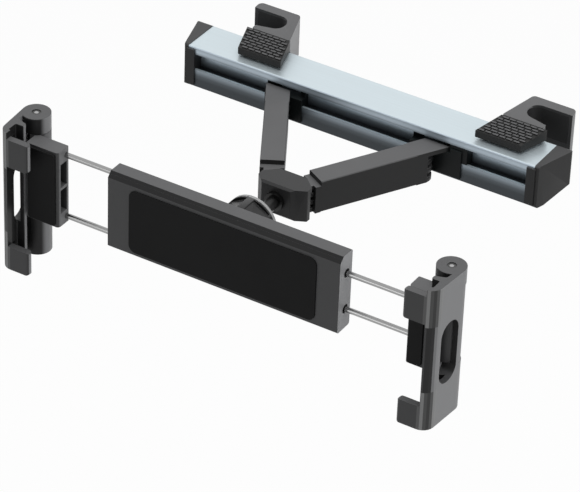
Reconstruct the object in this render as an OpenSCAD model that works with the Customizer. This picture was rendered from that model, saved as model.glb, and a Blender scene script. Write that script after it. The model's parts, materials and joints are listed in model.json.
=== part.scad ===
// Headrest tablet mount. A slotted aluminium rail hooks onto the two posts of a car
// headrest. A folding V linkage rides in its front slot and carries, on a ball joint,
// a holder whose two sprung jaws grip the sides of a tablet.
// X runs along the rail, Y points back to the headrest and Z up, in millimetres.
// The origin lies midway between the two post axes, at the middle of the rail's height.

/* [Rail] */
// Length of the aluminium extrusion
rail_len = 256; // [240:1:320]
// Height and depth of the extrusion
rail_size = 30; // [29:0.5:33]
// Radius on the long edges of the extrusion
rail_edge_r = 1; // [0.5:0.1:2]
// Thickness of the extrusion's webs and outer walls
rail_wall = 1.8; // [1.4:0.1:2.2]
// Height of both slots' middle above the rail's middle
slot_z = 4; // [3.5:0.25:4.25]
// Height of the front slot's opening
slot_w = 11.4; // [9:0.2:12]
// Height of the front slot behind its lips
slot_inner_w = 15.4; // [14:0.2:16]
// Depth of the front slot behind its lips
slot_inner_d = 5.5; // [4.5:0.1:6]
// Height of the rear slot's opening
rear_slot_w = 7; // [6:0.5:8]
// Height of the rear slot behind its lips
rear_inner_w = 13; // [11:0.5:14]
// Depth of the rear slot behind its lips
rear_inner_d = 4; // [3.5:0.1:4.5]
// Thickness of the slot lips
slot_lip = 2.2; // [1.8:0.1:2.6]
// How far the rail's middle lies right of the middle between the posts
rail_x = -10; // [-12:0.5:-4]

/* [End caps] */
// Reach of a cap past the extrusion at the front
cap_front_t = 3; // [2:0.5:5]
// Reach of a cap past the extrusion at the back
cap_back_t = 12; // [8:0.5:16]
// How far a cap stands proud of the extrusion all round
cap_proud = 0.4; // [0.2:0.1:0.5]
// Length of the cap's lip over the rail's front face
cap_lip_len = 5; // [3:0.5:7]
// Thickness of that lip
cap_lip_t = 0.8; // [0.6:0.1:1]
// Size of the slanted lower corner at the back of a cap
cap_corner = 7; // [4:0.5:9]
// Radius on the cap's edges
cap_edge_r = 2.2; // [1:0.1:3]
// Depth of the cap's plugs inside the extrusion
plug_len = 9; // [6:0.5:14]

/* [Hooks] */
// Distance between the two headrest posts
post_spacing = 194; // [184:1:198]
// Diameter of a headrest post
post_d = 14; // [12:0.5:14.5]
// Distance from the rail's back face to the post axes
post_gap = 11.5; // [11:0.25:13]
// Thickness of the hook's arm behind the post
hook_arm_t = 5; // [4:0.25:7]
// Reach of the hook's arm past the post axis
hook_reach = 20.9; // [18:0.5:24]
// Reach of the hook's front lip past the post axis
lip_reach = 10.5; // [8:0.5:12]
// Angle at which the front lip flares open
lip_flare = 12; // [5:1:15]
// Distance from the post axis to the hook's inner back corner
hook_heel = 10.4; // [10:0.2:14]
// Sideways lean of the hook and its button towards the back
hook_lean = 17; // [10:1:20]
// Height of the hook's sloping top above the rail's middle, over its front lip
hook_top = 24.4; // [24:0.2:27]
// Slope of the hook's top
hook_slope = 7; // [4:0.5:9]
// Depth of the hook's underside below the rail's middle
hook_bottom = 1; // [0.5:0.5:4]
// Length of the hook's foot inside the rear slot
foot_len = 20; // [14:1:22]
// Thickness of the rubber liner
liner_t = 1.5; // [1:0.1:2]
// Height of the liner's lower edge above the rail's middle
liner_z = 5; // [3:0.5:8]
// Height of the liner
liner_h = 20; // [14:0.5:20.5]
// Reach of the liner along the arm
liner_reach = 18.5; // [12:0.5:19]
// Angle that the liner follows round the post
liner_turn = 135; // [115:5:150]

/* [Buttons] */
// Depth of the button from front to back
button_d = 21.8; // [18:0.2:22]
// Width of the button
button_w = 32.5; // [28:0.5:35]
// Thickness of the button's walls
button_wall = 1.8; // [1.4:0.1:2.4]
// Travel of the button
button_travel = 1.2; // [0.8:0.1:1.4]
// Thickness of the hook's tray under the button
tray_t = 1.6; // [1.2:0.1:2]
// Rows of grip bars on the button
bar_rows = 8; // [5:1:9]
// Grip bars in a row
bar_cols = 6; // [4:1:7]
// Height of a grip bar
bar_h = 0.7; // [0.4:0.1:1]
// Mean radius of the button's return spring
button_spring_r = 4; // [3:0.5:6]

/* [Linkage] */
// How far the linkage sits right of the rail's middle
linkage_x = -0.6; // [-3:0.1:3]
// Height of the arms' and the ball's axis above the rail's middle
axis_z = -4.2; // [-6:0.1:-3]
// Distance between an arm's two hinge pins
arm_len = 86.2; // [78:0.2:92]
// Angle of the arms away from straight out, as built
arm_angle = 29.5; // [27:0.5:31]
// Width of an arm
arm_w = 15.6; // [13:0.2:16]
// Height of an arm
arm_h = 22.4; // [19:0.1:24]
// Bevel on the arms' long edges
arm_bevel = 0.5; // [0.3:0.1:2]
// Distance from a hinge pin to the arm's shoulder
arm_shoulder = 6.7; // [6.5:0.1:8]
// Distance from a block pin to the full height of its arm
arm_start = 10.4; // [9.8:0.1:12]
// Length of the lower step between that height and the knuckles
arm_step = 4; // [3:0.2:4.2]
// Reach of an arm's tongue past the rail's front face, into the slot
tongue_reach = 0.8; // [0.4:0.1:1]
// Reach of an arm's outer cheek past its carriage pin
cheek_reach = 1; // [-2:0.5:1]
// Thickness of that cheek
cheek_t = 2.1; // [1.6:0.1:2.1]
// Radius of the hinge knuckles
knuckle_r = 5.2; // [4.5:0.1:5.4]
// Depth of the arm's recess at the centre block
hinge_recess = 3.2; // [2.4:0.2:4]
// Leaves and gaps that share the height of a hinge
hinge_layers = 7; // [5:2:9]
// Radius of a hinge pin
hinge_pin_r = 1.8; // [1.5:0.1:2.2]
// Distance from the rail's front face to the carriage pins
carriage_pin_gap = 9.6; // [9.6:0.2:12]
// Reach of a carriage from its pin towards the middle
carriage_in = 13; // [10:0.2:13.4]
// Reach of the right carriage from its pin towards the rail's end
carriage_out = 24.4; // [18:0.2:25]
// Reach of the right carriage's foot past the pin, inside the slot
carriage_foot = 28; // [26:0.5:29]
// Reach of the left carriage from its pin towards the rail's end
left_carriage_out = 14.5; // [12:0.5:25]
// Thickness of the carriage's plate in front of the rail
carriage_plate = 1.2; // [0.8:0.1:1.2]
// Distance from the centre block's middle to each of its pins
block_pin_x = 10.7; // [10:0.1:13]
// How far the ball and the block's nose sit right of the middle between its pins
block_offset = 1.2; // [-1:0.1:1.4]
// How far the middle of the block's back sits right of its nose
block_skew = 2; // [-2:0.1:2.4]
// Half width of the centre block at its back
block_half_w = 18; // [17:0.25:19]
// Depth of the centre block
block_d = 8.4; // [7.5:0.1:10]
// Half width of the centre block at its front
block_nose = 10.5; // [8:0.5:12]
// Depth of the slanted corners of the centre block
block_corner = 5; // [3:0.5:6]
// Reach of the block's cover behind the middle of its pins
cover_back = 3.8; // [2:0.2:5]
// Width of the cover's slanted rear corners
cover_cut = 8.4; // [6:0.2:10]

/* [Ball joint] */
// Distance from the block's pins to the centre of the ball
ball_reach = 48.6; // [46:0.2:54]
// Radius of the ball
ball_r = 8.5; // [8:0.1:9]
// Radius of the ball's neck
neck_r = 4.2; // [3.5:0.1:4.4]
// Thickness of the seats that line the socket
seat_t = 1.6; // [1.3:0.1:1.9]
// Outer radius of the socket cup
cup_r = 13; // [12.8:0.1:14]
// Depth of the cup behind the ball's centre
cup_back = 6; // [5.5:0.1:6.5]
// Radius of the cup's rear opening
cup_mouth_r = 7.9; // [7.7:0.1:8.2]
// Width of the slits that let the cup close on the ball
cup_slit = 1.6; // [1:0.1:2]
// Outer radius of the locking nut
nut_r = 17.5; // [17:0.25:19]
// Depth of the wide notches round the nut
nut_notch = 2.2; // [1.5:0.1:2.4]
// Number of notches
nut_notches = 6; // [5:1:8]
// Width of the nut's rear rim
nut_rim = 3.6; // [3:0.2:6]

/* [Holder] */
// Width of the holder plate
holder_w = 166; // [150:1:180]
// Height of the holder plate
holder_h = 54.4; // [53:0.2:60]
// Thickness of the rear shell
back_shell_t = 12; // [11:0.25:14]
// Thickness of the front shell
front_shell_t = 2; // [2:0.25:3]
// Distance from the ball's centre to the holder's back face
holder_gap = 17; // [16:0.25:19]
// How far the holder's middle lies below the ball's axis
holder_drop = 1.3; // [0:0.1:3]
// How far the holder's middle lies right of the ball
holder_shift = 2.4; // [-2:0.1:3]
// Bevel along the front of the holder's top
holder_bevel = 3.5; // [2:0.1:3.8]
// Width of the rubber pad
pad_w = 134; // [110:1:140]
// Height of the rubber pad
pad_h = 45; // [38:0.5:45.5]
// Thickness of the rubber pad
pad_t = 1.8; // [1.6:0.1:2]
// Depth of the pad's seat in the front shell
pad_seat = 1; // [0.6:0.1:1.2]
// How far the pad's middle lies below the holder's
pad_drop = 1.5; // [0:0.25:1.5]
// Corner radius of the pad
pad_corner = 5; // [2:0.5:8]

/* [Jaws] */
// Radius of a guide rod
rod_r = 1.8; // [1.5:0.1:2]
// Height between the left jaw's two rods
left_rods = 45; // [44:0.5:46]
// Height between the right jaw's two rods
right_rods = 26; // [18:0.5:28]
// Distance from the holder's middle to the grip pins
grip_pin_x = 148; // [140:1:160]
// Length of the left bracket from the grip pin
left_bracket_len = 28.5; // [26:0.5:36]
// Length of the right bracket from the grip pin
right_bracket_len = 18; // [17:0.5:26]
// Height of a bracket
bracket_h = 55; // [54:0.5:60]
// Thickness of a bracket
bracket_t = 11.5; // [10.5:0.25:12]
// Distance from a bracket's rear face to its rods
rod_back = 3; // [2.8:0.1:4]
// Thickness of the rubber on a bracket
bracket_pad_t = 1.5; // [1:0.1:2]
// Wall round the pocket in a bracket's end
bracket_wall = 2.4; // [2:0.1:3]
// Height of that pocket
pocket_h = 36; // [25:0.5:37]
// Depth of that pocket
pocket_d = 7; // [5:0.5:8]
// Thickness of the rib across the pocket's middle
pocket_rib = 2; // [1.4:0.1:3]
// Radius of the recess round a rod in the holder's end
rod_mouth_r = 3; // [2.4:0.1:3.4]
// Depth of that recess
rod_mouth_d = 1.6; // [0.8:0.1:2.5]
// Reach of the left rods' inner ends from the holder's middle
left_rod_end = 20; // [15:0.5:30]
// Reach of the right rods' inner ends from the holder's middle
right_rod_end = 30; // [25:0.5:40]
// Travel of the left jaw from its place as built until it is shut
left_close = 33; // [28:0.5:33.5]
// Travel of the right jaw from its place as built until it is shut
right_close = 41; // [36:0.5:41.5]
// Radius of the bores that hold the jaw springs
spring_bore_r = 3.4; // [3.2:0.1:3.5]
// Thickness of the wall that guides a rod at the holder's end
rod_guide = 6; // [4:0.5:9]

/* [Grips] */
// Radius of the grip's bosses
boss_r = 9.3; // [8.8:0.1:10]
// Thickness of the grip's wall at the pin
grip_wall = 2.7; // [2.3:0.1:2.9]
// Distance from the grip pin to the grip's front
grip_depth = 31; // [29:0.5:34]
// Distance from the grip pin back to the rear face of a bracket
bracket_back = 6; // [5:0.25:6]
// Reach of a finger from the pin towards the tablet
finger_reach = 14.6; // [10:0.2:15]
// Thickness of a finger
finger_t = 4.6; // [3.6:0.1:5.5]
// Room in the grip for the thickness of a tablet
tablet_room = 8; // [7:0.1:8.2]
// Top of a grip above the holder's middle
grip_top = 39; // [38:0.5:44]
// Bottom of a grip below the holder's middle
grip_bottom = 62; // [56:0.5:66]
// Distance from the grip's top to the upper finger's lower edge
upper_finger = 24.5; // [20:0.5:28]
// Distance from the grip's bottom to the lower finger's upper edge
lower_finger = 17; // [14:0.5:22]
// Drop of the upper finger below the grip's top
finger_drop = 4.5; // [2:0.5:6]
// Distance from the grip pin to the grip's outer front corner, along the rail
grip_nose = 6.8; // [6:0.1:7]
// Radius of that corner
grip_corner = 8; // [4:0.5:8.5]
// Radius of the fingers' corners
finger_corner = 2.5; // [1:0.5:4]
// Width of the window in the grip's side
window_w = 18; // [14:0.5:19]
// Height of the window in the grip's side
window_h = 44; // [34:0.5:48]
// Thickness of the rubber in the grip
grip_pad_t = 1.4; // [1:0.1:1.8]
// Radius of the grip pin
grip_pin_r = 2; // [1.6:0.1:2.2]

/* [Fits] */
// Running clearance round a pin, a rod or the ball
run_gap = 0.06; // [0.04:0.01:0.1]
// Clearance between sliding or turning faces
slide_gap = 0.3; // [0.25:0.05:0.4]
// Clearance between neighbouring hinge leaves
leaf_gap = 0.2; // [0.15:0.05:0.3]
// Clearance round a piece that is pressed or glued in
seat_gap = 0.05; // [0.02:0.01:0.08]

/* [Hidden] */
$fn = 64;
eps = 0.01;
reach = 200;

plastic = "#3c3c3e";
dark_plastic = "#2a2a2c";
rubber = "#1c1c1d";
metal = "#d0dde2";
steel = "#c8c8cc";

half_rail = rail_size / 2;
rail_y = -(post_gap + half_rail);
rail_front = rail_y - half_rail;
half_len = rail_len / 2;
web_y = -half_rail + slot_lip + slot_inner_d + rail_wall;
core_d = rail_size - 2 * slot_lip - slot_inner_d - rear_inner_d - 2 * rail_wall;
chamber_top = slot_z - slot_inner_w / 2 - rail_wall;
chamber_h = chamber_top + half_rail - rail_wall;

seat_r = post_d / 2;
hook_back = seat_r + liner_t + hook_arm_t;
hook_front = post_gap + cap_proud + 1.2;
rail_clear = post_gap - slide_gap;
button_front_v = -hook_front - slide_gap - button_d;
tray_z = half_rail + cap_proud;
tray_inset = button_wall + 0.6;
skirt_z = tray_z + button_travel + slide_gap;
button_roof = 2.2;

link_x = rail_x + linkage_x;
ball_x = link_x + block_offset;
pin_y = rail_front - carriage_pin_gap;
arm_run = arm_len * sin(arm_angle);
arm_drop = arm_len * cos(arm_angle);
block_y = pin_y - arm_drop;
block_shoulder = knuckle_r + slide_gap + 0.1;
block_front = block_shoulder + block_d;
hinge_h = arm_h - hinge_recess;
arm_end_r = arm_w / 2 - 0.2;
tongue_z = arm_h / 2 - arm_h / hinge_layers;
tongue_y = carriage_pin_gap + tongue_reach;
tongue_in = (tongue_y - arm_w / 2 * sin(arm_angle)) / cos(arm_angle);
tongue_out = (tongue_y + arm_w / 2 * sin(arm_angle)) / cos(arm_angle);
tongue_r = norm([tongue_out, arm_w / 2]);
hinge_top = -arm_h / 2 + hinge_h;
cover_step = 1.4;
plate_rise = 2.6;
pin_end = 0.4;
flange_t = 3;
stud_depth = 6.5;
pin_cover = 1.2;

ball_y = block_y - ball_reach;
ball_gap = run_gap + 0.04;
rear_seat = [51, 73];
front_seat = [12, 71];
socket_r = ball_r + ball_gap + seat_t + ball_gap;
nut_bore_r = cup_r + run_gap;
nut_front = holder_gap - slide_gap - 0.1;
nut_lip = 2.2;

holder_t = back_shell_t + front_shell_t;
rod_v = -holder_gap - back_shell_t / 2;
grip_pin_v = rod_v + rod_back + bracket_back;
half_bracket = bracket_h / 2;

function side(s) = s < 0 ? 1 : 0;
function unit(v) = v / norm(v);
function turned(v, a) = [v.x * cos(a) - v.y * sin(a), v.x * sin(a) + v.y * cos(a)];
function polar(r, a) = [r * cos(a), r * sin(a)];
function top_at(v) = hook_top + (v + hook_front) * tan(hook_slope);
function lean_at(v) = -hook_heel + (v - hook_back) * tan(hook_lean);

// Points of an arc that rounds the corner b between its neighbours a and c
function corner_arc(a, b, c, r, n) =
    let (u = unit(a - b))
    let (w = unit(c - b))
    let (half = acos(u * w) / 2)
    let (centre = b + unit(u + w) * r / sin(half))
    let (first = b + u * r / tan(half) - centre)
    let (way = cross(-u, w) > 0 ? 1 : -1)
    [for (k = [0 : n]) centre + turned(first, way * (180 - 2 * half) * k / n)];

// An outline with its corners rounded, each by its own radius
function rounded(pts, radii, n = 6) =
    let (last = len(pts))
    [for (i = [0 : last - 1])
        each radii[i] > 0
            ? corner_arc(pts[(i + last - 1) % last], pts[i], pts[(i + 1) % last], radii[i], n)
            : [pts[i]]];

// Rings of a coil that rises from 0 to height
function coil_points(r, wire_r, height, turns, sides, steps) =
    [for (i = [0 : steps])
        for (j = [0 : sides - 1])
            let (a = 360 * turns * i / steps)
            let (b = 360 * j / sides)
            let (d = r + wire_r * cos(b))
            let (z = wire_r + (height - 2 * wire_r) * i / steps + wire_r * sin(b))
            [d * cos(a), d * sin(a), z]];

module coil(r, wire_r, height, turns) {
    sides = 6;
    steps = ceil(turns * 11);
    sweep = [for (i = [0 : steps - 1])
        for (j = [0 : sides - 1])
            let (k = (j + 1) % sides)
            each [[i * sides + j, i * sides + k, (i + 1) * sides + k],
                [i * sides + j, (i + 1) * sides + k, (i + 1) * sides + j]]];
    first = [for (j = [sides - 1 : -1 : 0]) j];
    last = [for (j = [0 : sides - 1]) steps * sides + j];
    polyhedron(coil_points(r, wire_r, height, turns, sides, steps), concat(sweep, [first, last]));
}

module at_rail() translate([rail_x, rail_y, 0]) children();
module at_hook(s) translate([s * post_spacing / 2, 0, 0]) mirror([side(s), 0, 0]) children();
module at_link(s) translate([link_x, block_y, axis_z]) mirror([side(s), 0, 0]) children();
module at_holder() translate([ball_x + holder_shift, ball_y, axis_z - holder_drop]) children();
module at_grip(s)
    at_holder() mirror([side(s), 0, 0]) translate([grip_pin_x, grip_pin_v, 0]) children();
module at_ball() translate([ball_x, ball_y, axis_z]) children();

// Shapes drawn across the part and run along it
module along_x(length) rotate([90, 0, 90]) linear_extrude(height = length, center = true) children();
module upright(z0, z1) translate([0, 0, z0]) linear_extrude(height = z1 - z0) children();
module bar_y(r, y0, y1) translate([0, y0, 0]) rotate([-90, 0, 0]) cylinder(r = r, h = y1 - y0);
module bar_x(r, x0, x1) translate([x0, 0, 0]) rotate([0, 90, 0]) cylinder(r = r, h = x1 - x0);
module box(x0, x1, y0, y1, z0, z1) translate([x0, y0, z0]) cube([x1 - x0, y1 - y0, z1 - z0]);
module rounded_square(w, h, r) {
    square([w - 2 * r, h], center = true);
    square([w, h - 2 * r], center = true);
    for (x = [-1, 1], y = [-1, 1]) translate([x * (w / 2 - r), y * (h / 2 - r)]) circle(r = r);
}

// Opening of a slot in a face at x = 0, seen along the rail
module slot_2d(open_w, inner_w, inner_d, gap) {
    translate([-1, -open_w / 2 + gap]) square([slot_lip + 1 + 2 * gap, open_w - 2 * gap]);
    translate([slot_lip + gap, -inner_w / 2 + gap]) square([inner_d - 2 * gap, inner_w - 2 * gap]);
}

module front_slot_2d(gap)
    translate([-half_rail, slot_z]) slot_2d(slot_w, slot_inner_w, slot_inner_d, gap);
module rear_slot_2d(gap)
    translate([half_rail, slot_z]) mirror([1, 0]) slot_2d(rear_slot_w, rear_inner_w, rear_inner_d, gap);
module chambers_2d(gap) {
    translate([web_y + gap, slot_z - slot_inner_w / 2 + gap])
        square([core_d - 2 * gap, slot_inner_w - 2 * gap]);
    translate([-half_rail + rail_wall + gap, -half_rail + rail_wall + gap])
        square([rail_size - 2 * rail_wall - 2 * gap, chamber_h - 2 * gap]);
}

module rail_extrusion() color(metal) at_rail() along_x(rail_len) difference() {
    rounded_square(rail_size, rail_size, rail_edge_r);
    front_slot_2d(0);
    rear_slot_2d(0);
    chambers_2d(0);
}

// The caps close the ends and lean outwards towards the back
module end_cap(s) color(dark_plastic) at_rail() mirror([side(s), 0, 0]) {
    size = rail_size + 2 * cap_proud;
    edge = half_rail + cap_proud;
    intersection() {
        upright(-edge, edge) polygon(rounded([
            [half_len, -edge], [half_len + cap_front_t, -edge],
            [half_len + cap_back_t, edge], [half_len, edge]],
            [0, cap_edge_r / 2, cap_edge_r, 0]));
        translate([half_len, 0, 0]) along_x(4 * cap_back_t) rounded_square(size, size, cap_edge_r);
        rotate([90, 0, 0]) linear_extrude(height = 2 * edge + 2, center = true) polygon([
            [half_len - 1, -edge - 1], [half_len + cap_back_t - cap_corner - 1, -edge - 1],
            [half_len + cap_back_t + 1, -edge + cap_corner + 1],
            [half_len + cap_back_t + 1, edge + 1], [half_len - 1, edge + 1]]);
    }
    box(half_len - cap_lip_len, half_len + cap_edge_r / 2, -edge - cap_lip_t, -half_rail,
        -edge + cap_edge_r, edge - cap_edge_r);
    translate([half_len - plug_len / 2 + 1, 0, 0]) along_x(plug_len + 2) chambers_2d(seat_gap);
    translate([half_len - cap_lip_len / 2 + 1, 0, 0]) along_x(cap_lip_len + 2) intersection() {
        front_slot_2d(seat_gap);
        translate([-half_rail - cap_lip_t / 2, -half_rail]) square([rail_size, rail_size]);
    }
}

// Outline of a hook seen from above, with the post axis at the origin
module hook_plan() difference() {
    polygon(rounded([
        [hook_reach, seat_r - 0.8], [hook_reach, hook_back], [-hook_heel, hook_back],
        [lean_at(-hook_front), -hook_front], [lip_reach, -hook_front], [lip_reach, seat_r - 0.8]],
        [0, 3.5, 3, 1, 1, 0]));
    circle(r = seat_r);
    mouth_2d();
}

// The mouth opens outwards between the arm and the flared front lip
module mouth_2d() {
    touch = polar(seat_r, 270 - lip_flare);
    far = hook_reach + 5;
    polygon([[0, seat_r], touch, [far, touch.y - (far - touch.x) * tan(lip_flare)], [far, seat_r]]);
}

// Rubber that follows the arm and the round seat, or its pocket if grown by a gap
module liner_2d(gap) {
    inner = gap > 0 ? seat_r - 1 : seat_r;
    outer = seat_r + liner_t + gap;
    intersection() {
        difference() {
            circle(r = outer);
            circle(r = inner);
        }
        polygon([[0, 0], [0, 3 * outer], [-4 * outer, 3 * outer], [-4 * outer, 0],
            polar(4 * outer, 90 + liner_turn + gap)]);
    }
    translate([0, inner]) square([liner_reach + gap, outer - inner]);
}

// The button leans the same way as the hook
module button_2d(inset) {
    front = button_front_v;
    back = -hook_front - slide_gap;
    left_f = lean_at(front);
    left_b = lean_at(back);
    grow = inset / cos(hook_lean);
    slope = inset * tan(hook_lean);
    polygon([
        [left_f + grow + slope, front + inset], [left_f + button_w - grow + slope, front + inset],
        [left_b + button_w - grow - slope, back - inset], [left_b + grow - slope, back - inset]]);
}

// Neck that joins the tray to the hook, under the button's rear wall
module tray_neck_2d(gap)
    translate([lean_at(-hook_front) + 3 - gap, -hook_front - slide_gap - tray_inset - 1])
        square([button_w - 14 + 2 * gap, 4 + tray_inset]);

module above_slope(lift) translate([0, -hook_front, hook_top + lift]) rotate([hook_slope, 0, 0])
    translate([-reach, -reach, 0]) cube([2 * reach, 2 * reach, reach]);

module hook(s) color(plastic) at_hook(s) difference() {
    union() {
        difference() {
            upright(-hook_bottom, hook_top + 20) hook_plan();
            box(-reach, reach, -reach, -rail_clear, -reach, tray_z);
        }
        upright(tray_z, tray_z + tray_t) {
            button_2d(tray_inset);
            intersection() {
                tray_neck_2d(0);
                translate([-reach, -reach]) square([2 * reach, reach - hook_front + 1]);
            }
        }
        intersection() {
            translate([0, rail_y, 0]) along_x(2 * reach) rear_slot_2d(slide_gap);
            box(-foot_len * 0.8, foot_len * 0.2, -reach, -rail_clear + eps, -reach, reach);
        }
    }
    above_slope(0);
    upright(liner_z - seat_gap, liner_z + liner_h + seat_gap) liner_2d(seat_gap);
}

module hook_liner(s) color(rubber) at_hook(s) upright(liner_z, liner_z + liner_h) liner_2d(0);

module button(s) color(plastic) at_hook(s) {
    roof_z = top_at(button_front_v) - button_roof;
    difference() {
        upright(skirt_z, hook_top + 10) button_2d(0);
        above_slope(0);
        upright(skirt_z - 1, roof_z) button_2d(button_wall);
        upright(skirt_z - 1, skirt_z + tray_t) tray_neck_2d(slide_gap);
    }
    grip_bars();
}

// Staggered bars give the thumb a hold
module grip_bars() {
    pitch_v = button_d / (bar_rows + 0.5);
    pitch_u = button_w / (bar_cols + 0.5);
    bar_v = pitch_v * 0.55;
    bar_u = pitch_u * 0.8;
    for (row = [0 : bar_rows - 1], col = [0 : bar_cols - 1]) {
        v = button_front_v + (row + 0.75) * pitch_v;
        u = lean_at(v) + (col + 0.55 + (row % 2) * 0.4) * pitch_u;
        translate([u, v, top_at(v) - 1]) rotate([hook_slope, 0, 0])
            box(-bar_u / 2, bar_u / 2, -bar_v / 2, bar_v / 2, 0, bar_h + 1);
    }
}

module button_spring(s) color(steel) at_hook(s) {
    low = tray_z + tray_t;
    high = top_at(button_front_v) - button_roof;
    mid_v = button_front_v + button_d / 2;
    translate([lean_at(mid_v) + button_w / 2, mid_v, low + seat_gap])
        coil(button_spring_r, 0.3, high - low - 2 * seat_gap, 1.5);
}

// Leaves of a hinge: one side takes the even layers and the other the odd ones.
// h is the height that they share, r their rounding and shoulder their length.
module leaves(first, shoulder, r, h) {
    leaf_h = h / hinge_layers;
    for (i = [first : 2 : hinge_layers - 1])
        upright(-arm_h / 2 + i * leaf_h + (i > 0 ? leaf_gap / 2 : 0),
                -arm_h / 2 + (i + 1) * leaf_h - (i < hinge_layers - 1 ? leaf_gap / 2 : 0)) {
            circle(r = r);
            translate([0, -r]) square([shoulder + eps, 2 * r]);
        }
}

// Bore for a hinge pin, closed at the top if it stops short
module pin_bore(top) upright(-arm_h, top + seat_gap) circle(r = hinge_pin_r + run_gap);
module hinge_pin(top) upright(-arm_h / 2 + pin_end, top) circle(r = hinge_pin_r);

// One carriage, with its pin at the origin and the rail's end to the right.
// Its top is cut away where the arm's tongue swings.
module carriage(s, out, foot) color(dark_plastic) at_link(s)
    translate([block_pin_x + arm_run, arm_drop, 0]) difference() {
        plate_back = carriage_pin_gap - slide_gap;
        plate_front = plate_back - carriage_plate;
        union() {
            rotate([0, 0, 90]) leaves(1, plate_front, knuckle_r, arm_h);
            upright(-arm_h / 2 + plate_rise, arm_h / 2) polygon([
                [-carriage_in, plate_front], [out, plate_front],
                [out, plate_back], [-carriage_in, plate_back]]);
            intersection() {
                translate([0, carriage_pin_gap + half_rail, -axis_z]) along_x(2 * reach)
                    front_slot_2d(slide_gap);
                box(-carriage_in, foot, plate_back - eps, reach, -reach, reach);
            }
        }
        pin_bore(arm_h);
        upright(tongue_z - leaf_gap / 2, arm_h) circle(r = tongue_r + slide_gap);
    }

module carriage_pin(s) color(steel) at_link(s)
    translate([block_pin_x + arm_run, arm_drop, 0]) hinge_pin(arm_h / 2 - pin_cover);
module block_pin(s) color(steel) at_link(s) translate([block_pin_x, 0, 0])
    hinge_pin(hinge_top - pin_cover);

module arm_profile() polygon([
    [-arm_w / 2, -arm_h / 2 + arm_bevel], [-arm_w / 2 + arm_bevel, -arm_h / 2],
    [arm_w / 2 - arm_bevel, -arm_h / 2], [arm_w / 2, -arm_h / 2 + arm_bevel],
    [arm_w / 2, arm_h / 2 - arm_bevel], [arm_w / 2 - arm_bevel, arm_h / 2],
    [-arm_w / 2 + arm_bevel, arm_h / 2], [-arm_w / 2, arm_h / 2 - arm_bevel]]);

// End of an arm at the rail, with its pin at the origin: rounded leaves, a cheek on
// the outer side, and a tongue on top whose end lies along the rail
module arm_end() {
    mirror([1, 0, 0]) leaves(0, arm_shoulder, arm_end_r, arm_h);
    upright(-arm_h / 2, arm_h / 2) translate([-arm_shoulder - eps, -arm_w / 2])
        square([arm_shoulder + cheek_reach, cheek_t]);
    upright(tongue_z + leaf_gap / 2, arm_h / 2) polygon([
        [-arm_shoulder - eps, -arm_w / 2], [tongue_out, -arm_w / 2],
        [tongue_in, arm_w / 2], [-arm_shoulder - eps, arm_w / 2]]);
}

// One arm, drawn from its block pin outwards
module arm(s) color(plastic) at_link(s) translate([block_pin_x, 0, 0])
    rotate([0, 0, 90 - arm_angle]) difference() {
        bar_end = arm_len - arm_shoulder;
        union() {
            leaves(0, arm_start, knuckle_r, hinge_h);
            upright(-arm_h / 2, hinge_top) translate([arm_start - arm_step, -arm_w / 2])
                square([arm_step + eps, arm_w]);
            translate([arm_len, 0, 0]) arm_end();
            translate([(arm_start + bar_end) / 2, 0, 0]) along_x(bar_end - arm_start) arm_profile();
        }
        box(arm_start + 5, bar_end - 5, -arm_w / 2 + 2.5, arm_w / 2 - 2.5, -arm_h, -arm_h / 2 + 3);
        pin_bore(hinge_top - pin_cover);
        translate([arm_len, 0, 0]) pin_bore(arm_h / 2 - pin_cover);
    }

// Block between the arms, with a cover over its hinges and a bevelled nose
module centre_block() color(plastic) at_link(1) {
    nose = block_offset;
    back = block_offset + block_skew;
    for (s = [-1, 1]) translate([s * block_pin_x, 0, 0]) difference() {
        rotate([0, 0, -90]) leaves(1, block_shoulder, knuckle_r, hinge_h);
        pin_bore(arm_h);
    }
    difference() {
        upright(-arm_h / 2, arm_h / 2) polygon(rounded([
            [back - block_half_w, -block_shoulder], [back - block_half_w, -block_front + block_corner],
            [nose - block_nose, -block_front], [nose + block_nose, -block_front],
            [back + block_half_w, -block_front + block_corner], [back + block_half_w, -block_shoulder]],
            [0, 1, 1, 1, 1, 0]));
        translate([nose, 0, 0])
            bar_y(neck_r - 0.7 + seat_gap, -block_front - 1, -block_front + stud_depth + 0.3);
        for (z = [-1, 1]) translate([0, -block_front, z * arm_h / 2]) rotate([45, 0, 0])
            cube([4 * block_half_w, 2, 2], center = true);
    }
    translate([back, 0, 0]) upright(hinge_top + leaf_gap, arm_h / 2) polygon([
        [-block_half_w, -block_shoulder - eps], [-block_half_w, -block_shoulder + cover_step],
        [-block_half_w + cover_cut, cover_back], [block_half_w - cover_cut, cover_back],
        [block_half_w, -block_shoulder + cover_step], [block_half_w, -block_shoulder - eps]]);
}

// Ball, neck and flange are turned from one bar, with a spigot in the centre block
module ball_stud() color(dark_plastic) {
    face = ball_reach - block_front;
    at_ball() {
        sphere(r = ball_r);
        bar_y(neck_r, 0, face);
        bar_y(neck_r + 2.2, face - flange_t, face);
        bar_y(neck_r - 0.7, face - eps, face + stud_depth);
    }
}

// Half of the lining of the socket, between two angles from the joint's axis
module seat_shell(from, to) rotate_extrude() intersection() {
    difference() {
        circle(r = ball_r + ball_gap + seat_t);
        circle(r = ball_r + ball_gap);
    }
    polygon([[0, 0], polar(40, 90 - from), polar(60, 90 - (from + to) / 2), polar(40, 90 - to)]);
}

module ball_seat_rear() color(rubber) at_ball() rotate([-90, 0, 0]) seat_shell(rear_seat.x, rear_seat.y);
module ball_seat_front() color(rubber) at_ball() rotate([90, 0, 0]) seat_shell(front_seat.x, front_seat.y);

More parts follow.
